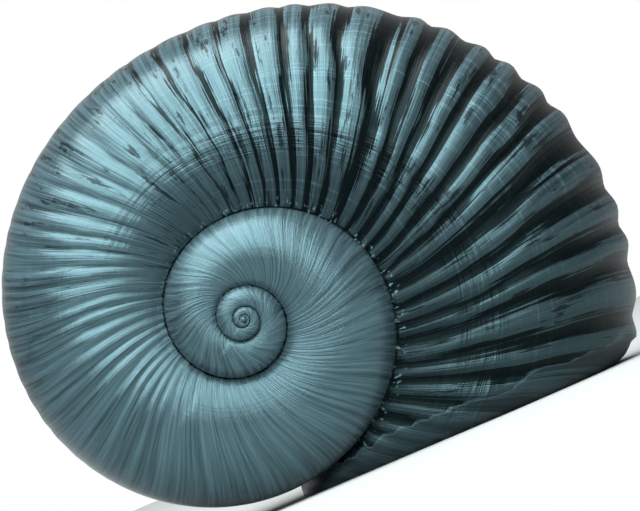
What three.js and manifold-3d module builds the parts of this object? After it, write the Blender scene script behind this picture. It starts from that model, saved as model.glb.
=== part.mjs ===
// A coiled sea-snail shell with a low spire and a ribbed last whorl, life size, in millimetres.
// It rests mouth down: the mouth's rim lies in the plane Z = 0, the coil axis is level, and the
// apex faces -Y. Seen from the apex the whorls widen clockwise, as in a right-handed shell.
// The shell is one grown piece: a hollow tube that winds round the coil axis, each whorl laid
// against the one before it, left open at the mouth.

import * as THREE from "three";
import { mergeVertices } from "three/addons/utils/BufferGeometryUtils.js";
import Module from "manifold-3d";

// Coil axis: it runs along Y through this point, where the apex is.
const AXIS = { x: -8.0, y: -18.3, z: 18.9 };

// Radius of the whorls' outer edge about the axis, one value for each quarter turn up to the mouth.
// Turn 0 points along +X at the last whorl, and turns run clockwise as seen from the apex.
const EDGE_RADII = [3.2, 3.9, 5.3, 7.2, 9.8, 14.2, 17.4, 22.7, 28.3, 38.5, 37.6];
const FIRST_EDGE_TURN = -2.25;
const QUARTERS = 4;
const EARLY_GROWTH = 2.7; // how much wider each of the first whorls is than the one before it
const APEX_TURN = -3.6;
const LAST_TURN = 0.281; // the tube runs a little past the mouth, and the rim's plane cuts it there

// Cross-section of a whorl, as shares of its edge radius.
const CREST_AT = 0.57; // the crest that faces the apex
const CREST_HEIGHT = 0.36;
const BASE_AT = 0.5; // the crest that faces away from the apex
const BASE_HEIGHT = 0.43;
const LEAST_WIDTH = 0.12; // between the inner wall and either crest
const NAVEL = 0.08; // radius of the narrow hole that the coil leaves round its axis
const NAVEL_END = { from: -2.6, to: -1, radius: 1.3 }; // the turns between which it is grown shut
const LAP = 0.01; // how far a whorl rides up over the edge of the one before it
const SPIRE_SLOPE = 0.45; // fall of the first whorls per unit of their radius

// Inner lip: near the mouth the tube's inner wall leaves the axis and runs down to the rim.
const INNER_LIP_TURN = 0.275;
const INNER_LIP_RADIUS = 19.6;
const INNER_LIP_BEND = 3; // the higher, the later the wall turns down to the rim

// Shell wall.
const WALL_AT_APEX = 1.0;
const WALL_PER_RADIUS = 0.03;
const INNER_LIP_LEAD = 0.034; // turns by which the inner wall's hollow side runs ahead
const HOLLOW_START = -0.4; // the hollow is followed to here, past where it bends out of sight

// Ribs: they run from the seam over the edge, leaning back as they go outwards.
const RIBS_PER_TURN = 57; // where turn 0 is, with more of them further back
const RIB_SPREAD = 10;
const FIRST_RIB = -39; // ribs are counted from turn 0
const RIB_START = ribTurn(FIRST_RIB); // first faint ribs
const RIB_HEIGHT = 0.6; // on the widest part of the last whorl
const RIB_FULL = -0.12; // ribs at full height
const RIB_LEAN = 17 / 360; // turns that a rib lags from seam to edge, on the last quarter turn
const RIB_LEAN_EARLIER = 0.052; // added lag per turn further back
const RIB_LEAN_FROM = -0.15;
const RIB_CURVE = 1.7;

// Lip: the wall thickens towards the mouth, and its outer surface rounds in over a band at the rim.
const LIP_WALL = 1.2; // added to the wall at the mouth
const LIP_WALL_FROM = -0.1;
const LIP_BAND = 2.2;
const LIP_TURN_IN = 1.9;
const LIP_CENTRE = { x: 15.5, y: 15.5 }; // middle of the mouth, from the axis

// Fineness of the facets.
const ROWS_PER_RIB = 3;
const COLUMNS = 18;
const FIRST_ROWS_PER_TURN = 14;
const MIDDLE_TURN = -2; // from here on the whorls are large enough for more rows
const EARLY_ROWS_PER_TURN = 24;
const HOLLOW_ROWS_PER_TURN = 22;
const HOLLOW_COLUMNS = 14;
const LONGEST_STRETCH = 0.7;
const TUCK = 0.15;
const HOLLOW_LAP = 0.04;

const wasm = await Module();
wasm.setup();

const lnEdge = new THREE.SplineCurve(EDGE_RADII.map((r, i) => new THREE.Vector2(i, Math.log(r))));

function smoothstep(from, to, value) {
  return THREE.MathUtils.smoothstep(value, from, to);
}

// Radius of the whorl's outer edge at a turn: a spline of its logarithm through EDGE_RADII,
// and a steady spiral inside the first of them.
function edgeRadius(turn) {
  const quarter = (turn - FIRST_EDGE_TURN) * QUARTERS;
  const last = EDGE_RADII.length - 1;
  if (quarter < 0) return EDGE_RADII[0] * EARLY_GROWTH ** (quarter / QUARTERS);
  if (quarter > last) return EDGE_RADII[last];
  return Math.exp(lnEdge.getPoint(quarter / last).y);
}

// How far the middle of the whorl lies from the apex along the axis: each whorl is set down just
// so far that its crest side meets the edge of the whorl before it.
function level(turn) {
  const radius = edgeRadius(turn);
  if (turn < APEX_TURN + 1) return SPIRE_SLOPE * radius;
  const seam = edgeRadius(turn - 1) / radius;
  const across = (CREST_AT - seam) / (CREST_AT - NAVEL);
  return level(turn - 1) + radius * (CREST_HEIGHT * Math.sqrt(1 - across * across) - LAP);
}

// Radius of the tube's inner wall: a narrow navel, widening into the inner lip at the mouth.
function innerRadius(turn) {
  const navel = NAVEL * edgeRadius(turn);
  const share = THREE.MathUtils.clamp(turn / INNER_LIP_TURN, 0, 1);
  return navel + (INNER_LIP_RADIUS - navel) * share ** INNER_LIP_BEND;
}

function wallThickness(turn) {
  const lip = LIP_WALL * smoothstep(LIP_WALL_FROM, 0.08, turn);
  return WALL_AT_APEX + WALL_PER_RADIUS * edgeRadius(turn) + lip;
}

// A point of the whorl's section at an angle round the tube, 0 at the outer edge and a quarter
// turn at the crest: four quarter ellipses, with the outward direction beside them.
function sectionPoint(turn, angle, inset, innerLead) {
  const radius = edgeRadius(turn);
  const towardsApex = Math.sin(angle) >= 0;
  const inner = innerRadius(turn + innerLead) + inset;
  const middle = Math.max(radius * (towardsApex ? CREST_AT : BASE_AT), inner + LEAST_WIDTH * radius);
  const height = radius * (towardsApex ? CREST_HEIGHT : BASE_HEIGHT) - inset;
  const outwards = Math.cos(angle) >= 0;
  const width = outwards ? radius - inset - middle : middle - inner;
  const normal = new THREE.Vector2(Math.cos(angle) / width, Math.sin(angle) / height).normalize();
  return {
    radial: middle + width * Math.cos(angle),
    axial: level(turn) - height * Math.sin(angle),
    normal,
  };
}

// Ribs counted along the coil: a parabola of the turn, because they stand closer together further back.
function ribCount(turn) {
  return RIBS_PER_TURN * turn - RIB_SPREAD * turn * turn;
}

// Turn at which the count of ribs is reached.
function ribTurn(count) {
  return (RIBS_PER_TURN - Math.sqrt(RIBS_PER_TURN ** 2 - 4 * RIB_SPREAD * count)) / (2 * RIB_SPREAD);
}

// Turns by which a growth line lags behind the seam at a share of the way out to the edge.
function growthLag(growth, share) {
  const lean = RIB_LEAN + RIB_LEAN_EARLIER * Math.max(0, RIB_LEAN_FROM - growth);
  return -lean * (1 - (1 - THREE.MathUtils.clamp(share, 0, 1)) ** RIB_CURVE);
}

// Height of the ribs on a growth line: broad crests with narrow grooves between them, dying out
// towards the navel.
function ribHeight(growth, share) {
  const wave = 0.5 - 0.5 * Math.cos(2 * Math.PI * ribCount(growth));
  const grown = smoothstep(RIB_START, RIB_FULL, growth) * smoothstep(-0.3, 0.6, share);
  return RIB_HEIGHT * grown * wave ** 0.6;
}

function place(turn, radial, axial) {
  const around = 2 * Math.PI * turn;
  return new THREE.Vector3(
    AXIS.x + radial * Math.cos(around),
    AXIS.y + axial,
    AXIS.z - radial * Math.sin(around),
  );
}

// A point of the outer surface on a growth line.
function outerPoint(growth, angle) {
  const plain = sectionPoint(growth, angle, 0, 0);
  const seam = edgeRadius(growth - 1) / edgeRadius(growth);
  const share = (plain.radial / edgeRadius(growth) - seam) / (1 - seam);
  const turn = growth + growthLag(growth, share);
  const at = sectionPoint(turn, angle, 0, 0);
  const flat = place(turn, at.radial, at.axial);
  const inBand = growth > RIB_START ? THREE.MathUtils.clamp(1 - flat.z / LIP_BAND, 0, 1) : 0;
  const rib = ribHeight(growth, share) * (1 - inBand);
  const point = place(turn, at.radial + rib * at.normal.x, at.axial - rib * at.normal.y);
  const inwards = new THREE.Vector2(LIP_CENTRE.x + AXIS.x - point.x, LIP_CENTRE.y + AXIS.y - point.y);
  inwards.setLength(LIP_TURN_IN * (1 - Math.sqrt(1 - inBand * inBand)));
  point.x += inwards.x;
  point.y += inwards.y;
  return point;
}

// A point of the hollow's surface.
function hollowPoint(turn, angle) {
  const at = sectionPoint(turn, angle, wallThickness(turn), INNER_LIP_LEAD);
  return place(turn, at.radial, at.axial);
}

// Angle round the tube of a column: closer together at the outer edge than at the inner wall.
function columnAngle(share) {
  const even = 2 * Math.PI * share;
  return even - 0.5 * Math.sin(even);
}

function middleOf(ring) {
  return ring.reduce((sum, point) => sum.add(point), new THREE.Vector3()).divideScalar(ring.length);
}

// A closed stretch of tube: a ring of points for each row, and a fan over each end. A tucked
// stretch has its first ring drawn in, so that it starts inside the stretch before it.
function tube(rows, columns, pointAt, tucked) {
  const faces = [];
  const rings = rows.map((row) =>
    Array.from({ length: columns }, (_, i) => pointAt(row, columnAngle(i / columns))),
  );
  const start = middleOf(rings[0]);
  if (tucked) rings[0].forEach((point) => point.lerp(start, TUCK));
  const points = rings.flat();
  for (let row = 0; row + 1 < rows.length; row++) {
    for (let i = 0; i < columns; i++) {
      const a = row * columns + i;
      const b = row * columns + ((i + 1) % columns);
      faces.push(a, b, a + columns, b, b + columns, a + columns);
    }
  }
  [0, rows.length - 1].forEach((row) => {
    points.push(middleOf(rings[row]));
    for (let i = 0; i < columns; i++) {
      const a = row * columns + i;
      const b = row * columns + ((i + 1) % columns);
      const c = points.length - 1;
      faces.push(...(row === 0 ? [b, a, c] : [a, b, c]));
    }
  });
  const geometry = new THREE.BufferGeometry().setFromPoints(points);
  geometry.setIndex(faces);
  return geometry;
}

function solidOf(geometry) {
  geometry.deleteAttribute("normal");
  geometry.deleteAttribute("uv");
  const merged = mergeVertices(geometry, 1e-5);
  return new wasm.Manifold(
    new wasm.Mesh({
      numProp: 3,
      vertProperties: new Float32Array(merged.attributes.position.array),
      triVerts: new Uint32Array(merged.index.array),
    }),
  );
}

function geometryOf(solid) {
  const mesh = solid.getMesh();
  const geometry = new THREE.BufferGeometry();
  geometry.setAttribute("position", new THREE.BufferAttribute(mesh.vertProperties, 3));
  geometry.setIndex(new THREE.BufferAttribute(mesh.triVerts, 1));
  geometry.computeVertexNormals();
  return geometry;
}

// Evenly spaced values from one to another, without the last.
function evenRows(from, to, perUnit) {
  const count = Math.round((to - from) * perUnit);
  return Array.from({ length: count }, (_, i) => from + ((to - from) * i) / count);
}

// A tube made of stretches that are each less than a turn long, so that none meets itself. Each
// starts tucked in a row before the one before it ends.
function wound(rows, columns, pointAt) {
  const solids = [];
  let first = 0;
  while (first < rows.length - 1) {
    let last = first + 1;
    while (last < rows.length - 1 && rows[last + 1] - rows[first] < LONGEST_STRETCH) last++;
    const tucked = first > 0;
    solids.push(solidOf(tube(rows.slice(tucked ? first - 1 : 0, last + 1), columns, pointAt, tucked)));
    first = last;
  }
  return solids.reduce((sum, solid) => sum.add(solid));
}

// The cone of shell that closes the narrow end of the navel.
function navelEnd() {
  const [top, bottom] = [level(NAVEL_END.from), level(NAVEL_END.to)];
  const cone = new THREE.ConeGeometry(NAVEL_END.radius, bottom - top, 12).rotateX(Math.PI);
  return solidOf(cone.translate(AXIS.x, AXIS.y + (top + bottom) / 2, AXIS.z));
}

// The grown shell: the outer tube from the apex to the mouth, less its hollow, cut off at the rim.
function shell() {
  const rows = [
    ...evenRows(APEX_TURN, MIDDLE_TURN, FIRST_ROWS_PER_TURN),
    ...evenRows(MIDDLE_TURN, RIB_START, EARLY_ROWS_PER_TURN),
    ...evenRows(FIRST_RIB, Math.floor(ribCount(LAST_TURN)), ROWS_PER_RIB).map(ribTurn),
    LAST_TURN,
  ];
  const outerUpTo = (turn) => wound(rows.filter((row) => row <= turn), COLUMNS, outerPoint);
  const hollowIn = (from, to) =>
    wound([...evenRows(from, to, HOLLOW_ROWS_PER_TURN), to], HOLLOW_COLUMNS, hollowPoint);

  const whorlBefore = outerUpTo(LAST_TURN - 1 + HOLLOW_LAP);
  const hollow = hollowIn(HOLLOW_START, LAST_TURN).subtract(whorlBefore);
  const ground = new THREE.BoxGeometry(200, 200, 100).translate(0, 0, -50);
  return outerUpTo(LAST_TURN).add(navelEnd()).subtract(hollow).subtract(solidOf(ground));
}

const material = new THREE.MeshStandardMaterial({ color: 0x4d6a70, roughness: 0.35, metalness: 0 });
const shellMesh = new THREE.Mesh(geometryOf(shell()), material);
shellMesh.name = "shell";

const part = new THREE.Group();
part.add(shellMesh);

export default part;
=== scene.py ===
"""Looks of a coiled sea-snail shell that rests on the rim of its mouth, with its apex towards the camera.

The shell is one grown piece. Its outer surface and its hollow are tubes wound round a level coil axis,
worked out as numpy grids, joined and cut into one closed mesh. The grids carry the growth coordinates that
the finish reads: how far along the coil and round the tube a point lies, and where it stands on its rib.
"""

import logging
import math
from collections.abc import Callable
from dataclasses import dataclass
from dataclasses import field
from enum import Enum

import bpy
import numpy as np
from mathutils import Matrix
from mathutils import Vector


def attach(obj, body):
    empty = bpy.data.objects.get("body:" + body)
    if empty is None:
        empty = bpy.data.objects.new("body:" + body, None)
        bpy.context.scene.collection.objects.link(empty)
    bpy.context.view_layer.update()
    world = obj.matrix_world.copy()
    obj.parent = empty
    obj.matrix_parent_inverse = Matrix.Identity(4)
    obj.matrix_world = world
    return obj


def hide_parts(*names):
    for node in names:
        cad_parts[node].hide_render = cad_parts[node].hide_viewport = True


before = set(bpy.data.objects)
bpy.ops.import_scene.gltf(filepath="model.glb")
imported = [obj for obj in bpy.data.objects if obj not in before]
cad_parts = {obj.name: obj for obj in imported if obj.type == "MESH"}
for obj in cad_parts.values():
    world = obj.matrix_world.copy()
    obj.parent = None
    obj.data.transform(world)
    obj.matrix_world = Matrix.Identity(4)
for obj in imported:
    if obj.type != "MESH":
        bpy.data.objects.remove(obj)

LOG = logging.getLogger("sea_snail_shell")
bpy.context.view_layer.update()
METRES = 0.001  # one millimetre
TURN = 2 * math.pi

Array = np.ndarray
Tree = bpy.types.NodeTree
Socket = bpy.types.NodeSocket

SMOOTHSTEP = {"interpolation_type": "SMOOTHSTEP"}
NUMBERS = {"data_type": "FLOAT"}
COLOURS = {"data_type": "RGBA"}
TINT = {"data_type": "RGBA", "blend_type": "MULTIPLY"}
TIMES = {"operation": "MULTIPLY"}


class Cut(Enum):
    """How one solid is combined with another."""

    JOIN = "UNION"
    REMOVE = "DIFFERENCE"


class Layer(Enum):
    """Names of the growth coordinates that the shell's mesh carries as UV maps."""

    PLACE = "place"  # along the coil and round the tube, in mm
    RIBS = "ribs"  # rib count along the coil, and how strong the ribs are
    ZONES = "zones"  # share from seam to edge, and height in the lip band


def smooth(low: float, high: float, value: Array) -> Array:
    """Smoothstep from 0 at low to 1 at high."""
    share = np.clip((value - low) / (high - low), 0.0, 1.0)
    return share * share * (3.0 - 2.0 * share)


def wander(value: Array, seed: int, octaves: int = 4) -> Array:
    """A smooth irregular line: a sum of sines of unrelated lengths, within about -1 to 1.

    Args:
        value: where on the line, with one main swing for each unit.
        seed: picks the phases.
        octaves: how many sines are summed, each about 1.7 times as fine as the one before.

    Returns:
        The line's height.
    """
    phases = np.random.default_rng(seed).uniform(0.0, TURN, octaves)
    pitch = 1.71 ** np.arange(octaves)
    waves = [np.sin(TURN * value * p + phase) / p**0.6 for p, phase in zip(pitch, phases)]
    return sum(waves) / sum(1.0 / pitch**0.6)


@dataclass(frozen=True)
class Coil:
    """How the whorls widen, climb and lie against each other. Sizes in mm, angles in turns.

    Turn 0 points along +X at the last whorl, and turns run clockwise as seen from the apex.
    """

    axis: tuple[float, float, float] = (-8.0, -18.3, 18.9)
    edge_radii: tuple[float, ...] = (3.2, 3.9, 5.3, 7.2, 9.8, 14.2, 17.4, 22.7, 28.3, 38.5, 37.6)
    first_edge_turn: float = -2.25
    early_growth: float = 2.7
    apex_turn: float = -3.6
    last_turn: float = 0.281
    crest_at: float = 0.57
    crest_height: float = 0.36
    base_at: float = 0.5
    base_height: float = 0.43
    least_width: float = 0.12
    navel: float = 0.08
    lap: float = 0.01
    spire_slope: float = 0.45
    inner_lip_turn: float = 0.275
    inner_lip_radius: float = 19.6
    inner_lip_bend: float = 3.0
    inner_lip_lead: float = 0.034
    wall_at_apex: float = 1.0
    wall_per_radius: float = 0.03
    lip_wall: float = 1.2
    lip_wall_from: float = -0.1

    def edge_radius(self, turn: Array) -> Array:
        """Radius of a whorl's outer edge: a spline of its logarithm through one value each quarter turn.

        Inside the first of those values the spiral is a steady one.

        Args:
            turn: turns, of any shape.

        Returns:
            Radii in mm, of the same shape.
        """
        knots = np.log(np.asarray(self.edge_radii))
        last = len(knots) - 1
        quarter = (np.asarray(turn, float) - self.first_edge_turn) * 4.0
        inside = np.clip(quarter, 0.0, last)
        start = np.minimum(inside.astype(int), last - 1)
        part = inside - start
        before, here = knots[np.maximum(start - 1, 0)], knots[start]
        after, beyond = knots[start + 1], knots[np.minimum(start + 2, last)]
        slope_here, slope_after = 0.5 * (after - before), 0.5 * (beyond - here)
        curve = (
            (2.0 * here - 2.0 * after + slope_here + slope_after) * part**3
            + (-3.0 * here + 3.0 * after - 2.0 * slope_here - slope_after) * part**2
            + slope_here * part
            + here
        )
        early = np.minimum(quarter, 0.0) / 4.0 * math.log(self.early_growth)
        return np.exp(curve + early)

    def seam(self, turn: Array) -> Array:
        """Share of the edge radius at which a whorl meets the one before it."""
        return self.edge_radius(turn - 1.0) / self.edge_radius(turn)

    def level(self, turn: Array) -> Array:
        """Distance of a whorl's middle from the apex along the axis.

        Each whorl is set down just so far that its crest side meets the edge of the whorl before it, so the
        distance is a sum over the whorls passed.

        Args:
            turn: turns, of any shape.

        Returns:
            Distances in mm.
        """
        turn = np.array(turn, float)
        total = np.zeros_like(turn)
        while np.any(turn >= self.apex_turn + 1.0):
            passed = turn >= self.apex_turn + 1.0
            across = (self.crest_at - self.seam(turn)) / (self.crest_at - self.navel)
            climb = self.crest_height * np.sqrt(np.maximum(1.0 - across**2, 0.0)) - self.lap
            total += np.where(passed, self.edge_radius(turn) * climb, 0.0)
            turn = np.where(passed, turn - 1.0, turn)
        return total + self.spire_slope * self.edge_radius(turn)

    def inner_radius(self, turn: Array) -> Array:
        """Radius of the tube's inner wall: a narrow navel that widens into the inner lip at the mouth.

        Args:
            turn: turns, of any shape.

        Returns:
            Radii in mm.
        """
        navel = self.navel * self.edge_radius(turn)
        share = np.clip(turn / self.inner_lip_turn, 0.0, 1.0)
        return navel + (self.inner_lip_radius - navel) * share**self.inner_lip_bend

    def wall(self, turn: Array) -> Array:
        """Thickness of the shell wall, greater towards the lip."""
        lip = self.lip_wall * smooth(self.lip_wall_from, 0.08, turn)
        return self.wall_at_apex + self.wall_per_radius * self.edge_radius(turn) + lip

    def section(
        self, turn: Array, angle: Array, inset: Array, lead: float
    ) -> tuple[Array, Array, Array, Array]:
        """Points of a whorl's cross-section: four quarter ellipses through edge, crest, inner wall and base.

        Args:
            turn: where on the coil.
            angle: angle round the tube, 0 at the outer edge and a quarter turn at the crest.
            inset: how far inside the outer surface, in mm.
            lead: turns by which the inner wall runs ahead.

        Returns:
            Distance from the axis, distance along it from the apex, and the outward direction's two parts.
        """
        radius = self.edge_radius(turn)
        to_apex = np.sin(angle) >= 0.0
        inner = self.inner_radius(turn + lead) + inset
        halfway = radius * np.where(to_apex, self.crest_at, self.base_at)
        middle = np.maximum(halfway, inner + self.least_width * radius)
        height = radius * np.where(to_apex, self.crest_height, self.base_height) - inset
        width = np.where(np.cos(angle) >= 0.0, radius - inset - middle, middle - inner)
        out, up = np.cos(angle) / width, np.sin(angle) / height
        length = np.hypot(out, up)
        radial = middle + width * np.cos(angle)
        axial = self.level(turn) - height * np.sin(angle)
        return radial, axial, out / length, -up / length

    def place(self, turn: Array, radial: Array, axial: Array) -> Array:
        """Points in the part's frame, from cylinder coordinates about the coil axis.

        Args:
            turn: angle about the axis, in turns.
            radial: distance from the axis in mm.
            axial: distance along it from the apex in mm.

        Returns:
            Points in mm.
        """
        around = TURN * turn
        x = self.axis[0] + radial * np.cos(around)
        y = self.axis[1] + axial
        z = self.axis[2] - radial * np.sin(around)
        return np.stack([x, y, z], axis=-1)


@dataclass(frozen=True)
class Ribs:
    """Slanting ribs of the last whorl, and the lean that all growth lines share."""

    per_turn: float = 57.0
    spread: float = 10.0
    height: float = 0.5
    faint: float = 0.5
    start: float = -0.617
    faint_full: float = -0.45
    rise: float = -0.27
    full: float = 0.02
    lean: float = 17 / 360
    lean_earlier: float = 0.052
    lean_from: float = -0.15
    curve: float = 1.7

    def lag(self, growth: Array, share: Array) -> Array:
        """Turns by which a growth line lags at a share of the way from the seam to the edge."""
        lean = self.lean + self.lean_earlier * np.maximum(0.0, self.lean_from - growth)
        return -lean * (1.0 - (1.0 - np.clip(share, 0.0, 1.0)) ** self.curve)

    def count(self, growth: Array, share: Array) -> Array:
        """Ribs counted along the coil: closer together on the older shell, wavering a little.

        The count is a parabola of the growth, with slow wanderings along the coil and along each rib.

        Args:
            growth: growth coordinate in turns.
            share: share of the way from the seam to the edge.

        Returns:
            The count, 0 at turn 0 but for the waver.
        """
        even = self.per_turn * growth - self.spread * growth**2
        uneven = 0.35 * wander(6.0 * growth, 3) + 0.12 * wander(1.3 * share + 9.0 * growth, 5, 3)
        return even + uneven

    def strength(self, growth: Array) -> Array:
        """How far the ribs have grown in, from 0 on the older shell, through faint ribs, to 1."""
        faint = self.faint * smooth(self.start, self.faint_full, growth)
        return faint + (1.0 - self.faint) * smooth(self.rise, self.full, growth)

    def relief(self, growth: Array, share: Array) -> Array:
        """Height of the ribs in mm: a raised cosine, with broader and flatter crests where the ribs set in.

        Args:
            growth: growth coordinate in turns.
            share: share of the way from the seam to the edge; the ribs die out inside the seam.

        Returns:
            Height over the plain section.
        """
        grown = self.strength(growth)
        wave = 0.5 - 0.5 * np.cos(TURN * self.count(growth, share))
        flatter = np.maximum(1.0 - 1.5 * smooth(0.7, 1.0, share) * (1.0 - grown), 0.0)
        round_crest = 0.8 - 0.4 * smooth(-0.45, -0.35, growth) * (1.0 - smooth(-0.2, -0.05, growth))
        return self.height * grown * flatter * smooth(-0.3, 0.6, share) * wave**round_crest


@dataclass(frozen=True)
class Seam:
    """The groove where a whorl meets the one before it, and the crumbs that ride its outer side."""

    depth: float = 0.35
    width: float = 0.022
    crumb: float = 0.12
    crumb_reach: float = 0.07
    crumbs_from: float = -0.3

    def relief(self, growth: Array, share: Array, size: Array) -> Array:
        """Height in mm: a bell-shaped groove at the seam, and humps of an irregular line just outside it.

        Args:
            growth: growth coordinate in turns.
            share: share of the way from the seam to the edge.
            size: the whorl's edge radius in mm.

        Returns:
            Height, negative in the groove.
        """
        scale = np.sqrt(np.clip(size / 25.0, 0.0, 1.0))
        uneven = self.width * (1.0 + 0.45 * wander(26.0 * growth, 13)) / scale
        groove = -self.depth * scale * np.exp(-((share / uneven) ** 2))
        humps = np.maximum(wander(150.0 * growth + 11.0 * share, 11) + 0.4 * wander(38.0 * share, 12), 0.0)
        reach = np.exp(-(((share - 0.03) / self.crumb_reach * 2.0) ** 2))
        return groove + self.crumb * humps * reach * smooth(self.crumbs_from, self.crumbs_from + 0.15, growth)


@dataclass(frozen=True)
class Lip:
    """The rounded, ribless band along the mouth's outer rim."""

    band: float = 2.4
    waver: float = 0.5
    turn_in: float = 1.9
    centre: tuple[float, float] = (15.5, 15.5)

    def height(self, across: Array) -> Array:
        """Height of the band's upper edge over the rim, an irregular line along the mouth."""
        return self.band + self.waver * wander(across / 14.0, 21, 2)

    def inward(self, share: Array) -> Array:
        """How far the surface has rounded in, in mm: a quarter ellipse over the band."""
        return self.turn_in * (1.0 - np.sqrt(np.maximum(1.0 - share**2, 0.0)))


@dataclass
class Tube:
    """A grid of points round a stretch of the coil, with its growth coordinates at every corner.

    The grid has one column more than the ring has points: the last column closes the ring and holds the
    growth coordinates there, so that they do not jump back across a face.
    """

    points: Array
    layers: dict[Layer, Array]

    def mesh(self, name: str) -> bpy.types.Mesh:
        """A closed mesh: quads between neighbouring rows and columns, and a fan of triangles over each end.

        Args:
            name: the mesh's name.

        Returns:
            The mesh, with one UV map for each layer.
        """
        rows, columns = self.points.shape[0], self.points.shape[1] - 1
        ring = self.points[:, :columns].reshape(-1, 3)
        ends = np.stack([self.points[0, :columns].mean(axis=0), self.points[-1, :columns].mean(axis=0)])
        grid = np.meshgrid(np.arange(rows - 1), np.arange(columns), indexing="ij")
        row, column = (part.ravel() for part in grid)
        corners = [(row, column), (row, column + 1), (row + 1, column + 1), (row + 1, column)]
        quads = np.stack([r * columns + c % columns for r, c in corners], axis=-1)
        quad_grid = np.stack([r * (columns + 1) + c for r, c in corners], axis=-1)
        side = np.arange(columns)
        first = np.stack([(side + 1) % columns, side, np.full(columns, rows * columns)], axis=-1)
        over = (rows - 1) * columns
        tip = np.full(columns, rows * columns + 1)
        last = np.stack([over + side, over + (side + 1) % columns, tip], axis=-1)
        first_grid = np.stack([side + 1, side, side], axis=-1)
        over_grid = (rows - 1) * (columns + 1)
        last_grid = np.stack([over_grid + side, over_grid + side + 1, over_grid + side], axis=-1)
        mesh = bpy.data.meshes.new(name)
        faces = [*quads.tolist(), *first.tolist(), *last.tolist()]
        mesh.from_pydata((np.vstack([ring, ends]) * METRES).tolist(), [], faces)
        corner_index = np.concatenate([quad_grid.ravel(), first_grid.ravel(), last_grid.ravel()])
        for layer, values in self.layers.items():
            at_corners = values.reshape(-1, 2)[corner_index].astype(np.float32)
            mesh.uv_layers.new(name=layer.value).data.foreach_set("uv", at_corners.ravel())
        mesh.update()
        return mesh


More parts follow.
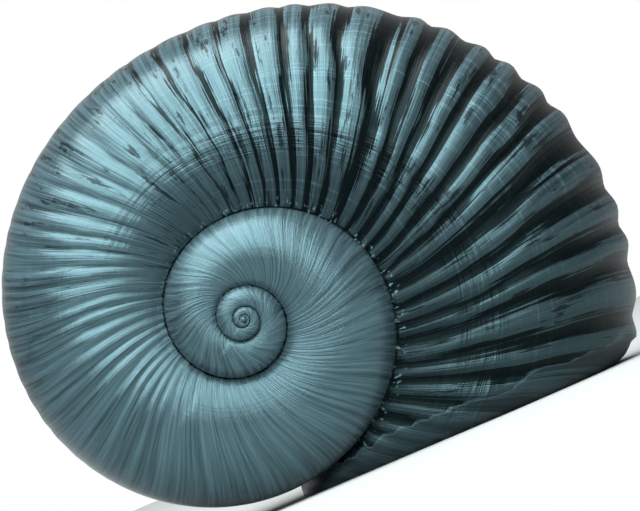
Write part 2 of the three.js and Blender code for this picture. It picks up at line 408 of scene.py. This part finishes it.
@dataclass
class Shell:
    """The whole shell: outer tube, hollow, and the flat rim it rests on."""

    coil: Coil = field(default_factory=Coil)
    ribs: Ribs = field(default_factory=Ribs)
    seam: Seam = field(default_factory=Seam)
    lip: Lip = field(default_factory=Lip)
    columns: int = 112
    crowding: float = 0.5
    last_rows_per_turn: int = 480
    early_rows_per_turn: int = 230
    first_rows_per_turn: int = 110
    middle_turn: float = -2.0
    hollow_columns: int = 64
    hollow_rows_per_turn: int = 110
    hollow_start: float = -0.4
    hollow_lap: float = 0.04
    longest_stretch: float = 0.7
    tuck: float = 0.15
    tube_share: float = 0.42  # of the widest edge radius: the tube's, for the finish's distances round it
    shoulder_drop: float = 0.55
    shoulder_from: float = -0.32
    navel_end_turn: float = -1.0
    navel_end_radius: float = 1.3
    bead_radius: float = 0.36
    bead_depth: float = 0.42

    def column_angles(self, columns: int) -> Array:
        """Angles round the tube from the inner wall back to it, closer together at the outer edge."""
        even = np.linspace(-math.pi, math.pi, columns + 1)
        return even - self.crowding * np.sin(even)

    def along(self, growth: Array) -> Array:
        """Length grown along the middle of the whorl, summed up from the apex.

        Args:
            growth: growth coordinate in turns.

        Returns:
            Length in mm.
        """
        steps = np.linspace(self.coil.apex_turn - 0.1, self.coil.last_turn + 0.1, 2000)
        speed = TURN * 0.7 * self.coil.edge_radius(steps)
        total = np.concatenate([[0.0], np.cumsum(0.5 * (speed[1:] + speed[:-1]) * np.diff(steps))])
        return np.interp(growth, steps, total)

    def outer(self, rows: Array) -> Tube:
        """The outer surface on a run of growth lines.

        Each point lies on its whorl's section, turned back by the growth line's lag, and is raised along the
        section's outward direction by the ribs, the shoulder and the seam. Near the rim it rounds in.

        Args:
            rows: growth coordinates of the rows, in turns.

        Returns:
            The grid of points with its layers.
        """
        growth, angle = np.meshgrid(rows, self.column_angles(self.columns), indexing="ij")
        nothing = np.zeros_like(growth)
        size = self.coil.edge_radius(growth)
        meeting = self.coil.seam(growth)
        share = (self.coil.section(growth, angle, nothing, 0.0)[0] / size - meeting) / (1.0 - meeting)
        turn = growth + self.ribs.lag(growth, share)
        radial, axial, out, back = self.coil.section(turn, angle, nothing, 0.0)
        plain = self.coil.place(turn, radial, axial)
        band = self.lip.height(plain[..., 0] + plain[..., 1])
        near_rim = np.where(growth > self.ribs.start, np.clip(1.0 - plain[..., 2] / band, 0.0, 1.0), 0.0)
        signed = np.where(angle >= 0.0, share, 2.0 - share)
        strength = self.ribs.strength(growth)
        height = self.ribs.relief(growth, share) * (1.0 - smooth(0.0, 0.3, near_rim))
        height = height + self.shoulder(growth, signed)
        height = height + np.where(angle >= 0.0, self.seam.relief(growth, share, size), 0.0)
        points = self.coil.place(turn, radial + height * out, axial + height * back)
        inward = np.asarray(self.lip.centre) + np.asarray(self.coil.axis[:2]) - points[..., :2]
        inward /= np.linalg.norm(inward, axis=-1, keepdims=True)
        points[..., :2] += inward * self.lip.inward(near_rim)[..., None]
        points[:, -1] = points[:, 0]
        around = angle * self.tube_share * self.coil.edge_radii[-2]
        layers = {
            Layer.PLACE: np.stack([self.along(growth), around], axis=-1),
            Layer.RIBS: np.stack([self.ribs.count(growth, share), strength], axis=-1),
            Layer.ZONES: np.stack([signed, near_rim], axis=-1),
        }
        return Tube(points, layers)

    def shoulder(self, growth: Array, share: Array) -> Array:
        """Height of the shoulder in mm: a ledge that drops towards the seam and wavers along the coil.

        Args:
            growth: growth coordinate in turns.
            share: share of the way from the seam to the edge, above 1 on the far side.

        Returns:
            Height over the plain section, negative on the seam's side of the ledge.
        """
        ledge = self.shoulder_drop * (smooth(0.28, 0.4, share) - 1.0) * smooth(-0.05, 0.1, share)
        uneven = 0.85 + 0.15 * wander(14.0 * growth, 31)
        return ledge * uneven * smooth(self.shoulder_from, self.shoulder_from + 0.15, growth)

    def hollow(self, rows: Array) -> Tube:
        """The hollow's surface: the section drawn in by the wall's thickness, smooth and without ribs.

        Args:
            rows: turns of the rows.

        Returns:
            The grid of points with its layers, whose zone of 3 marks the inside.
        """
        turn, angle = np.meshgrid(rows, self.column_angles(self.hollow_columns), indexing="ij")
        radial, axial, _, _ = self.coil.section(turn, angle, self.coil.wall(turn), self.coil.inner_lip_lead)
        points = self.coil.place(turn, radial, axial)
        points[:, -1] = points[:, 0]
        around = angle * self.tube_share * self.coil.edge_radii[-2]
        layers = {
            Layer.PLACE: np.stack([self.along(turn), around], axis=-1),
            Layer.RIBS: np.zeros(turn.shape + (2,)),
            Layer.ZONES: np.stack([np.full_like(turn, 3.0), np.zeros_like(turn)], axis=-1),
        }
        return Tube(points, layers)

    def outer_rows(self) -> Array:
        """Growth coordinates of all rows, closer together on the later whorls.

        Returns:
            The rows from the apex to the mouth, in turns.
        """
        runs = [
            (self.coil.apex_turn, self.middle_turn, self.first_rows_per_turn),
            (self.middle_turn, self.ribs.start, self.early_rows_per_turn),
            (self.ribs.start, self.coil.last_turn, self.last_rows_per_turn),
        ]
        parts = [np.linspace(a, b, round((b - a) * n), endpoint=False) for a, b, n in runs]
        return np.concatenate([*parts, [self.coil.last_turn]])

    def wound(self, name: str, rows: Array, surface: Callable[[Array], Tube]) -> bpy.types.Object:
        """A tube made of stretches that are each less than a turn long, joined into one solid.

        Each stretch starts a row early with its first ring drawn in, so that it begins inside the one before.

        Args:
            name: the object's name.
            rows: growth coordinates of all rows.
            surface: the method that gives a tube for a run of rows.

        Returns:
            The joined solid.
        """
        solids = []
        first = 0
        while first < len(rows) - 1:
            last = int(np.searchsorted(rows, rows[first] + self.longest_stretch))
            last = min(max(last, first + 1), len(rows) - 1)
            tube = surface(rows[max(first - 1, 0) : last + 1])
            if first > 0:
                tube.points[0] += self.tuck * (tube.points[0].mean(axis=0) - tube.points[0])
            solids.append(linked(tube.mesh(f"{name}_{len(solids)}")))
            first = last
        return combined(name, solids[0], [(solid, Cut.JOIN) for solid in solids[1:]])

    def build(self) -> bpy.types.Object:
        """The finished mesh: the outer tube less its hollow, cut off flat at the rim.

        The whorl before the mouth is taken out of the hollow, because its outer surface is the hollow's inner
        wall there.

        Returns:
            The shell's object, at the origin.
        """
        rows = self.outer_rows()
        before_mouth = rows[rows <= self.coil.last_turn - 1.0 + self.hollow_lap]
        space = self.wound("space", self.even_rows(self.hollow_start, self.coil.last_turn), self.hollow)
        core = self.wound("core", before_mouth, self.outer)
        space = combined("hollow", space, [(core, Cut.REMOVE)])
        whole = self.wound("grown", rows, self.outer)
        plug = linked(self.navel_end().mesh("navel_end"))
        steps = [(plug, Cut.JOIN), (space, Cut.REMOVE), (ground_block(), Cut.REMOVE)]
        return combined("shell_surface", whole, steps)

    def navel_end(self) -> Tube:
        """The shell round the axis: a bead at the apex, which the first whorl grows from, over a narrow cone.

        The radius is the greater of a ball's and of one that grows evenly with the distance from the apex.
        The rings lie closer together at the bead, by the cube of an even step.

        Returns:
            The bead and cone as a grid of rings, with its layers.
        """
        part, turn = np.meshgrid(np.linspace(0.01, 1.0, 40), np.linspace(0.0, 1.0, 25), indexing="ij")
        top = self.bead_depth - self.bead_radius
        axial = top + (self.coil.level(np.array(self.navel_end_turn)) - top) * part**3
        ball = np.sqrt(np.maximum(self.bead_radius**2 - (axial - self.bead_depth) ** 2, 0.0))
        points = self.coil.place(turn, np.maximum(ball, self.navel_end_radius * part**3), axial)
        points[:, -1] = points[:, 0]
        layers = {
            Layer.PLACE: np.stack([turn, part], axis=-1),
            Layer.RIBS: np.stack([np.full_like(turn, -200.0), np.zeros_like(turn)], axis=-1),
            Layer.ZONES: np.stack([np.ones_like(turn), np.zeros_like(turn)], axis=-1),
        }
        return Tube(points, layers)

    def even_rows(self, start: float, end: float) -> Array:
        """Evenly spaced rows of the hollow from one turn to another."""
        return np.linspace(start, end, round((end - start) * self.hollow_rows_per_turn) + 1)


def linked(mesh: bpy.types.Mesh) -> bpy.types.Object:
    """Puts a mesh into the scene.

    Args:
        mesh: the mesh.

    Returns:
        A new object of it, at the origin.
    """
    made = bpy.data.objects.new(mesh.name, mesh)
    bpy.context.scene.collection.objects.link(made)
    return made


def combined(
    name: str, base: bpy.types.Object, steps: list[tuple[bpy.types.Object, Cut]]
) -> bpy.types.Object:
    """Joins and cuts closed solids one after another, and removes the solids that went in.

    Args:
        name: name of the result.
        base: the solid to start from.
        steps: solids to combine with it, in order, each with the way it is combined.

    Returns:
        A new object with the resulting mesh.
    """
    for solid, cut in steps:
        boolean = base.modifiers.new(cut.name.lower(), "BOOLEAN")
        boolean.solver = "MANIFOLD"
        boolean.operation = cut.value
        boolean.object = solid
    graph = bpy.context.evaluated_depsgraph_get()
    mesh = bpy.data.meshes.new_from_object(base.evaluated_get(graph))
    mesh.name = name
    for used in [base, *(solid for solid, _ in steps)]:
        old = used.data
        bpy.data.objects.remove(used)
        bpy.data.meshes.remove(old)
    return linked(mesh)


def ground_block() -> bpy.types.Object:
    """The block under the rim's plane that cuts the tube off: the eight corners of a box of 200 mm.

    Returns:
        The block's object.
    """
    grid = np.meshgrid([-0.1, 0.1], [-0.1, 0.1], [-0.1, 0.0], indexing="ij")
    corner = np.stack(grid, axis=-1).reshape(-1, 3)
    faces = [(0, 1, 3, 2), (4, 6, 7, 5), (0, 4, 5, 1), (2, 3, 7, 6), (0, 2, 6, 4), (1, 5, 7, 3)]
    mesh = bpy.data.meshes.new("ground_block")
    mesh.from_pydata(corner.tolist(), [], faces)
    return linked(mesh)


def linear(colour: str) -> tuple[float, float, float, float]:
    """Linear colour from an sRGB hex value.

    Args:
        colour: the value, such as "#4a656b".

    Returns:
        Red, green, blue and a full alpha.
    """
    parts = [int(colour[i : i + 2], 16) / 255.0 for i in (1, 3, 5)]
    values = [p / 12.92 if p <= 0.04045 else ((p + 0.055) / 1.055) ** 2.4 for p in parts]
    return (*values, 1.0)


def add_node(
    tree: Tree,
    kind: str,
    settings: dict[str, object] | None = None,
    inputs: dict[int | str, object] | None = None,
) -> bpy.types.Node:
    """Adds a node, sets its properties, and sets or links its inputs.

    Args:
        tree: the node tree.
        kind: the node's type, without the word ShaderNode that every type starts with.
        settings: properties of the node by name.
        inputs: values or output sockets for its inputs, by index or name.

    Returns:
        The new node.
    """
    node = tree.nodes.new(f"ShaderNode{kind}")
    for name, value in (settings or {}).items():
        setattr(node, name, value)
    for socket, value in (inputs or {}).items():
        if isinstance(value, Socket):
            tree.links.new(value, node.inputs[socket])
        else:
            node.inputs[socket].default_value = value
    return node


@dataclass(frozen=True)
class ShellFinish:
    """Aragonite shell, grown in layers and polished by the sea: glossy, dense and dark in the grooves.

    It gives the eye a broad soft gloss on the crests, broken into streaks by fine growth lines, over a dark
    blue-grey body. Ribs of the last whorl are paler than the grooves between them, which are almost black.
    Shade is painted along the seam and the slope beside it, and in part onto the ribs near the lip.
    """

    rib: str = "#32444a"
    # ribs near the lip: their own dark colour, with painted shade on the lower side that faces away from the
    # light
    lip_rib_and_shade: str = "#090f11"
    groove: str = "#030708"
    band: str = "#202c2f"
    band_edge: str = "#33444a"
    crumb: str = "#5f7a80"
    inside: str = "#7d979c"
    gloss: tuple[float, float, float, float] = (0.48, 0.9, 1.0, 1.0)
    dull: tuple[float, float, float, float] = (0.05, 0.1, 0.11, 1.0)  # gloss taken away in the grooves and cracks, and where shade is painted along the seam
    roughness: float = 0.18
    lip_roughness: float = 0.4
    ior: float = 1.6
    growth_line: float = 0.32  # mm from one fine growth line to the next
    growth_line_length: float = 30.0  # mm
    cord: float = 0.4  # mm from one fine spiral line to the next
    cord_length: float = 24.0  # mm
    line_relief: float = 0.07  # mm
    cord_relief: float = 0.02  # mm
    shoulder_at: float = 0.34  # share of the way from seam to edge
    ridge: float = 1.1  # mm from one shoulder ridge to the next
    ridge_length: float = 30.0  # mm
    ridge_relief: float = 0.5  # mm
    rough_ribs: tuple[float, float] = (-14.0, 4.0)  # counts of ribs between which the gloss dulls
    dark_ribs: tuple[float, float] = (-7.0, 9.0)  # between which the ribs darken: their own darker colour near the lip, with painted shade over it
    crack_ribs: tuple[float, float] = (-28.0, -16.0)  # between which cracks set in
    ridge_ribs: tuple[float, float] = (-21.0, -13.0)  # between which shoulder ridges set in
    crack: tuple[float, float] = (0.9, 7.0)  # mm across and along one
    rag: float = 1.6  # mm of one step in the seam's ragged edge
    crumb_size: tuple[float, float] = (0.7, 0.8)  # mm
    groove_sway: tuple[float, float] = (9.0, 16.0)  # mm of one bend in a groove's edge

    def material(self) -> bpy.types.Material:
        """The finish as a node material that reads the shell's growth coordinates.

        Returns:
            The new material.
        """
        made = bpy.data.materials.new("sea_polished_aragonite_shell")
        made.use_nodes = True
        tree = made.node_tree
        tree.nodes.clear()
        place, ribs, zones = (self.split(tree, layer) for layer in Layer)
        lines = self.streaks(tree, place, self.growth_line, self.growth_line_length)
        cords = self.streaks(tree, place, self.cord_length, self.cord)
        glossy_and_unshaded = self.glossy_and_unshaded(tree, self.stripes(tree, ribs, place, lines), place, ribs, zones)
        body = self.body(tree, glossy_and_unshaded, ribs, lines, cords)
        marked = self.crumbs(tree, body, place, ribs, zones)
        colour = self.ends(tree, marked, lines, zones)
        gloss = add_node(tree, "Mix", COLOURS, {0: glossy_and_unshaded, 6: self.dull, 7: self.gloss})
        rough = add_node(
            tree,
            "MapRange",
            SMOOTHSTEP,
            {
                "Value": ribs[0],
                "From Min": self.rough_ribs[0],
                "From Max": self.rough_ribs[1],
                "To Min": self.roughness,
                "To Max": self.lip_roughness,
            },
        )
        shader = add_node(
            tree,
            "BsdfPrincipled",
            inputs={
                "Base Color": colour,
                "Roughness": rough.outputs[0],
                "IOR": self.ior,
                "Specular Tint": gloss.outputs[2],
                "Normal": self.relief(tree, lines, cords, self.ridges(tree, place, ribs, zones)),
            },
        )
        add_node(tree, "OutputMaterial", inputs={"Surface": shader.outputs["BSDF"]})
        return made

    def split(self, tree: Tree, layer: Layer) -> list[Socket]:
        """The two coordinates of one of the shell's UV maps.

        Args:
            tree: the material's node tree.
            layer: which UV map.

        Returns:
            The sockets of both coordinates.
        """
        found = add_node(tree, "UVMap", {"uv_map": layer.value})
        parts = add_node(tree, "SeparateXYZ", inputs={0: found.outputs["UV"]})
        return [parts.outputs["X"], parts.outputs["Y"]]

    def streaks(
        self, tree: Tree, place: list[Socket], along: float, around: float
    ) -> Socket:
        """Noise drawn out into streaks or flecks.

        Args:
            tree: the material's node tree.
            place: the coordinates in mm along the coil and round the tube.
            along: length of a streak along the coil in mm.
            around: its length round the tube in mm.

        Returns:
            The noise, about 0.3 to 0.7.
        """
        across = add_node(tree, "Math", {"operation": "DIVIDE"}, {0: place[0], 1: along})
        down = add_node(tree, "Math", {"operation": "DIVIDE"}, {0: place[1], 1: around})
        at = add_node(tree, "CombineXYZ", inputs={"X": across.outputs[0], "Y": down.outputs[0]})
        noise = add_node(
            tree,
            "TexNoise",
            {"noise_dimensions": "2D"},
            {"Vector": at.outputs[0], "Scale": 1.0, "Detail": 4.0, "Roughness": 0.65},
        )
        return noise.outputs["Fac"]

    def stripes(
        self,
        tree: Tree,
        ribs: list[Socket],
        place: list[Socket],
        lines: Socket,
    ) -> Socket:
        """Pale ribs and dark grooves, where the ribs have grown in, with edges frayed along the growth lines.

        Args:
            tree: the material's node tree.
            ribs: the rib count and the ribs' strength.
            place: the coordinates in mm.
            lines: the fine growth lines.

        Returns:
            1 on the ribs and on the older shell, 0 in the grooves.
        """
        wobble = self.streaks(tree, place, *self.groove_sway)
        spread = {"operation": "MULTIPLY_ADD"}
        shift = add_node(tree, "Math", spread, {0: wobble, 1: 0.4, 2: ribs[0]})
        frayed = add_node(tree, "Math", spread, {0: lines, 1: 0.8, 2: shift.outputs[0]})
        back = add_node(tree, "Math", {"operation": "SUBTRACT"}, {0: frayed.outputs[0], 1: 0.6})
        wave = add_node(tree, "Math", {"operation": "PINGPONG"}, {0: back.outputs[0], 1: 0.5})
        width = add_node(
            tree,
            "MapRange",
            inputs={"Value": ribs[1], "From Min": 0.5, "From Max": 0.9, "To Min": 0.04, "To Max": 0.25},
        )
        above = add_node(tree, "Math", {"operation": "SUBTRACT"}, {0: wave.outputs[0], 1: width.outputs[0]})
        edge = add_node(
            tree, "MapRange", SMOOTHSTEP, {"Value": above.outputs[0], "From Min": -0.035, "From Max": 0.035}
        )
        grown = add_node(
            tree,
            "MapRange",
            SMOOTHSTEP,
            {"Value": ribs[1], "From Min": 0.48, "From Max": 0.58, "To Min": 0.12},
        )
        return add_node(tree, "Mix", NUMBERS, {0: grown.outputs[0], 2: 1.0, 3: edge.outputs[0]}).outputs[0]

    def glossy_and_unshaded(
        self,
        tree: Tree,
        stripe: Socket,
        place: list[Socket],
        ribs: list[Socket],
        zones: list[Socket],
    ) -> Socket:
        """Where the shell is pale and glossy: not in the grooves and cracks, nor in the painted shade along
        the seam, and less on the slope beside it, which is painted shade too.

        Args:
            tree: the material's node tree.
            stripe: 1 on the ribs and 0 in the grooves.
            place: the coordinates in mm.
            ribs: the rib count and the ribs' strength.
            zones: the share from seam to edge, and the height in the lip band.

        Returns:
            1 on pale glossy shell, 0 in the grooves, the cracks and the painted shade along the seam.
        """
        split = self.streaks(tree, place, *self.crack)
        whole = add_node(
            tree,
            "MapRange",
            SMOOTHSTEP,
            {"Value": split, "From Min": 0.6, "From Max": 0.66, "To Min": 1.0, "To Max": 0.2},
        )
        first, full = self.crack_ribs
        grown = add_node(tree, "MapRange", inputs={"Value": ribs[0], "From Min": first, "From Max": full})
        cracked = add_node(tree, "Mix", NUMBERS, {0: grown.outputs[0], 2: 1.0, 3: whole.outputs[0]})
        # Painted shade: a dark, ragged line along the seam groove, thinner on the small whorls.
        ragged = add_node(
            tree,
            "MapRange",
            inputs={
                "Value": self.streaks(tree, place, self.rag, self.rag),
                "From Min": 0.35,
                "From Max": 0.65,
                "To Min": 0.5,
                "To Max": 2.4,
            },
        )
        apart = add_node(tree, "Math", {"operation": "ABSOLUTE"}, {0: zones[0]})
        small = add_node(
            tree,
            "MapRange",
            inputs={"Value": ribs[0], "From Min": -200.0, "From Max": -60.0, "To Min": 0.2, "To Max": 1.0},
        )
        even = add_node(tree, "Math", TIMES, {0: apart.outputs[0], 1: small.outputs[0]})
        torn = add_node(tree, "Math", TIMES, {0: even.outputs[0], 1: ragged.outputs[0]})
        seam = add_node(
            tree, "MapRange", SMOOTHSTEP, {"Value": torn.outputs[0], "From Min": 0.003, "From Max": 0.012}
        )
        # Painted shade on the slope from the seam up to the shoulder of the last whorl, mixed in where the
        # ribs have grown.
        seam_side_shade = add_node(
            tree,
            "MapRange",
            SMOOTHSTEP,
            {"Value": zones[0], "From Min": 0.1, "From Max": 0.42, "To Min": 0.45},
        )
        inner = add_node(tree, "Mix", NUMBERS, {0: grown.outputs[0], 2: 1.0, 3: seam_side_shade.outputs[0]})
        found = stripe
        for part in (cracked, seam, inner):
            found = add_node(tree, "Math", TIMES, {0: found, 1: part.outputs[0]}).outputs[0]
        return found

    def body(
        self,
        tree: Tree,
        glossy_and_unshaded: Socket,
        ribs: list[Socket],
        lines: Socket,
        cords: Socket,
    ) -> Socket:
        """The body colour: ribs, darker towards the lip in their own colour and in painted shade, over
        grooves, with growth lines and spiral lines.

        Args:
            tree: the material's node tree.
            glossy_and_unshaded: 1 on the ribs, 0 in the grooves and in the painted shade along the seam.
            ribs: the rib count and the ribs' strength.
            lines: the fine growth lines.
            cords: the fine spiral lines.

        Returns:
            The colour.
        """
        # Towards the lip the ribs darken, partly in their own colour and partly in painted shade.
        late = add_node(
            tree,
            "MapRange",
            SMOOTHSTEP,
            {"Value": ribs[0], "From Min": self.dark_ribs[0], "From Max": self.dark_ribs[1]},
        )
        raised = add_node(
            tree, "Mix", COLOURS, {0: late.outputs[0], 6: linear(self.rib), 7: linear(self.lip_rib_and_shade)}
        )
        mixed = add_node(tree, "Mix", COLOURS, {0: glossy_and_unshaded, 6: linear(self.groove), 7: raised.outputs[2]})
        tone = add_node(
            tree,
            "MapRange",
            inputs={"Value": lines, "From Min": 0.35, "From Max": 0.65, "To Min": 0.45, "To Max": 1.45},
        )
        spiral = add_node(
            tree,
            "MapRange",
            inputs={"Value": cords, "From Min": 0.56, "From Max": 0.68, "To Min": 0.9, "To Max": 2.2},
        )
        strong = add_node(tree, "MapRange", inputs={"Value": ribs[1], "From Min": 0.45, "From Max": 0.9})
        ribbed = add_node(tree, "Mix", NUMBERS, {0: strong.outputs[0], 2: 1.0, 3: spiral.outputs[0]})
        both = add_node(tree, "Math", TIMES, {0: tone.outputs[0], 1: ribbed.outputs[0]})
        return add_node(tree, "Mix", TINT, {0: 1.0, 6: mixed.outputs[2], 7: both.outputs[0]}).outputs[2]

    def crumbs(
        self,
        tree: Tree,
        body: Socket,
        place: list[Socket],
        ribs: list[Socket],
        zones: list[Socket],
    ) -> Socket:
        """Pale crumbs along the outer side of the seam.

        Args:
            tree: the material's node tree.
            body: the body colour.
            place: the coordinates in mm.
            ribs: the rib count and the ribs' strength.
            zones: the share from seam to edge, and the height in the lip band.

        Returns:
            The colour with the crumbs on it.
        """
        bits = self.streaks(tree, place, *self.crumb_size)
        loose = add_node(tree, "MapRange", SMOOTHSTEP, {"Value": bits, "From Min": 0.6, "From Max": 0.68})
        near = add_node(
            tree,
            "MapRange",
            SMOOTHSTEP,
            {"Value": zones[0], "From Min": 0.02, "From Max": 0.06, "To Min": 1.0, "To Max": 0.0},
        )
        some = add_node(tree, "Math", TIMES, {0: loose.outputs[0], 1: near.outputs[0]})
        here = add_node(tree, "Math", TIMES, {0: some.outputs[0], 1: ribs[1]})
        return add_node(
            tree, "Mix", COLOURS, {0: here.outputs[0], 6: body, 7: linear(self.crumb)}
        ).outputs[2]

    def ends(
        self,
        tree: Tree,
        colour: Socket,
        lines: Socket,
        zones: list[Socket],
    ) -> Socket:
        """The dark lip band with its thin pale upper edge, and the paler inside of the mouth.

        Args:
            tree: the material's node tree.
            colour: the colour of the rest of the shell.
            lines: the fine growth lines, which streak the band.
            zones: the share from seam to edge, and the height in the lip band.

        Returns:
            The whole shell's colour.
        """
        tone = add_node(
            tree,
            "MapRange",
            inputs={"Value": lines, "From Min": 0.3, "From Max": 0.7, "To Min": 0.6, "To Max": 1.3},
        )
        smooth_band = add_node(tree, "Mix", TINT, {0: 1.0, 6: linear(self.band), 7: tone.outputs[0]})
        edge = add_node(tree, "MapRange", inputs={"Value": zones[1], "From Min": 0.0, "From Max": 0.015})
        edged = add_node(tree, "Mix", COLOURS, {0: edge.outputs[0], 6: colour, 7: linear(self.band_edge)})
        low = add_node(tree, "MapRange", inputs={"Value": zones[1], "From Min": 0.02, "From Max": 0.05})
        banded = add_node(
            tree, "Mix", COLOURS, {0: low.outputs[0], 6: edged.outputs[2], 7: smooth_band.outputs[2]}
        )
        within = add_node(tree, "Math", {"operation": "GREATER_THAN"}, {0: zones[0], 1: 2.6})
        return add_node(
            tree, "Mix", COLOURS, {0: within.outputs[0], 6: banded.outputs[2], 7: linear(self.inside)}
        ).outputs[2]

    def ridges(
        self,
        tree: Tree,
        place: list[Socket],
        ribs: list[Socket],
        zones: list[Socket],
    ) -> Socket:
        """Uneven spiral ridges along the shoulder of the last whorl.

        Args:
            tree: the material's node tree.
            place: the coordinates in mm.
            ribs: the rib count and the ribs' strength.
            zones: the share from seam to edge, and the height in the lip band.

        Returns:
            Height of the ridges, 0 away from the shoulder.
        """
        spiral = self.streaks(tree, place, self.ridge_length, self.ridge)
        off = add_node(tree, "Math", {"operation": "SUBTRACT"}, {0: zones[0], 1: self.shoulder_at})
        apart = add_node(tree, "Math", {"operation": "ABSOLUTE"}, {0: off.outputs[0]})
        near = add_node(
            tree,
            "MapRange",
            SMOOTHSTEP,
            {"Value": apart.outputs[0], "From Min": 0.04, "From Max": 0.13, "To Min": 1.0, "To Max": 0.0},
        )
        first, full = self.ridge_ribs
        grown = add_node(tree, "MapRange", inputs={"Value": ribs[0], "From Min": first, "From Max": full})
        here = add_node(tree, "Math", TIMES, {0: near.outputs[0], 1: grown.outputs[0]})
        return add_node(tree, "Math", TIMES, {0: spiral, 1: here.outputs[0]}).outputs[0]

    def relief(
        self,
        tree: Tree,
        lines: Socket,
        cords: Socket,
        ridges: Socket,
    ) -> Socket:
        """Fine growth lines, spiral lines and shoulder ridges as bumps.

        Args:
            tree: the material's node tree.
            lines: the growth lines' height.
            cords: the spiral lines' height.
            ridges: the shoulder ridges' height.

        Returns:
            The bumped normal.
        """
        bumped = None
        heights = (ridges, cords, lines)
        depths = (self.ridge_relief, self.cord_relief, self.line_relief)
        for height, depth in zip(heights, depths):
            inputs = {"Distance": depth * METRES, "Height": height}
            if bumped:
                inputs["Normal"] = bumped.outputs[0]
            bumped = add_node(tree, "Bump", inputs=inputs)
        return bumped.outputs[0]


@dataclass(frozen=True)
class PaperFinish:
    """Matt white paper: it gives the eye a plain pale ground without a gloss."""

    colour: str = "#969a9a"
    roughness: float = 0.9
    specular: float = 0.0

    def material(self) -> bpy.types.Material:
        """The finish as a material.

        Returns:
            The new material.
        """
        paper = bpy.data.materials.new("matt_white_paper")
        paper.use_nodes = True
        shader = paper.node_tree.nodes["Principled BSDF"]
        shader.inputs["Base Color"].default_value = linear(self.colour)
        shader.inputs["Roughness"].default_value = self.roughness
        shader.inputs["Specular IOR Level"].default_value = self.specular
        return paper


@dataclass(frozen=True)
class Studio:
    """A pale floor, one large soft light overhead and in front, and the photograph's view down the axis."""

    roll: float = 23.0  # degrees that the photograph is turned from the shell's resting pose
    target: tuple[float, float, float] = (1.47, -9.0, 21.78)
    frame_width: float = 64.0  # mm seen across the picture at the target
    lens: float = 500.0
    floor_radius: float = 0.3
    floor_drop: float = 0.00002  # below the rim, so that the two do not flicker
    light_elevation: float = 59.0
    light_distance: float = 0.6
    light_size: tuple[float, float] = (0.7, 1.15)
    light_power: float = 22.0
    sky: float = 0.1
    back_sky: float = 0.5

    def build(self) -> None:
        """Makes the floor, the light, the sky and the camera."""
        self.make_floor()
        self.make_light()
        self.make_sky()
        self.make_camera()

    def make_floor(self) -> None:
        """A round flat sheet just under the rim."""
        around = np.linspace(0.0, TURN, 128, endpoint=False)
        edge = np.stack([np.cos(around), np.sin(around), np.zeros_like(around)], axis=-1) * self.floor_radius
        edge[:, 2] = -self.floor_drop
        mesh = bpy.data.meshes.new("floor")
        mesh.from_pydata(edge.tolist(), [], [tuple(range(len(edge)))])
        mesh.materials.append(PaperFinish().material())
        linked(mesh)

    def make_light(self) -> None:
        """A rectangular soft box that faces the shell from above and in front."""
        lamp = bpy.data.lights.new("soft_box", "AREA")
        lamp.shape = "RECTANGLE"
        lamp.size, lamp.size_y = self.light_size
        lamp.energy = self.light_power
        made = bpy.data.objects.new("soft_box", lamp)
        bpy.context.scene.collection.objects.link(made)
        rise = math.radians(self.light_elevation)
        towards = Vector((0.0, -math.cos(rise), math.sin(rise)))
        made.location = Vector(self.target) * METRES + towards * self.light_distance
        made.rotation_euler = towards.to_track_quat("Z", "Y").to_euler()
        made.visible_camera = False

    def make_sky(self) -> None:
        """A dim pale sky, brighter behind the shell, and seen as plain white by the camera."""
        world = bpy.data.worlds.new("sky")
        bpy.context.scene.world = world
        world.use_nodes = True
        tree = world.node_tree
        tree.nodes.clear()
        path = add_node(tree, "LightPath")
        towards = add_node(tree, "TexCoord")
        parts = add_node(tree, "SeparateXYZ", inputs={0: towards.outputs["Generated"]})
        to_back = {"Value": parts.outputs["Y"], "From Min": 0.0, "To Min": self.sky, "To Max": self.back_sky}
        lit = add_node(tree, "MapRange", inputs=to_back)
        seen = add_node(tree, "Mix", NUMBERS, {0: path.outputs["Is Camera Ray"], 2: lit.outputs[0], 3: 1.0})
        back = add_node(
            tree, "Background", inputs={"Color": (1.0, 1.0, 1.0, 1.0), "Strength": seen.outputs[0]}
        )
        add_node(tree, "OutputWorld", inputs={"Surface": back.outputs[0]})

    def make_camera(self) -> None:
        """A long lens level with the shell, looking along the coil axis, rolled as the photograph is."""
        data = bpy.data.cameras.new("camera")
        data.lens = self.lens
        data.clip_end = 100.0
        camera = bpy.data.objects.new("camera", data)
        bpy.context.scene.collection.objects.link(camera)
        bpy.context.scene.camera = camera
        turn = math.radians(self.roll)
        right = Vector((math.cos(turn), 0.0, -math.sin(turn)))
        up = Vector((math.sin(turn), 0.0, math.cos(turn)))
        back = Vector((0.0, -1.0, 0.0))
        distance = self.frame_width * METRES * self.lens / data.sensor_width
        place = Vector(self.target) * METRES + back * distance
        camera.matrix_world = Matrix.Translation(place) @ Matrix((right, up, back)).transposed().to_4x4()


def main() -> None:
    """Builds the shell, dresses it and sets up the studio."""
    logging.basicConfig(level=logging.INFO, format="%(name)s: %(message)s")
    bpy.context.scene.view_settings.view_transform = "Standard"
    shell = Shell().build()
    shell.data.materials.clear()
    shell.data.materials.append(ShellFinish().material())
    shell.data.shade_smooth()
    shell.data.set_sharp_from_angle(angle=math.radians(50.0))
    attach(shell, "root")
    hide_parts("shell")
    LOG.info("shell: %d vertices, %d faces", len(shell.data.vertices), len(shell.data.polygons))
    Studio().build()


if __name__ == "__main__":
    main()
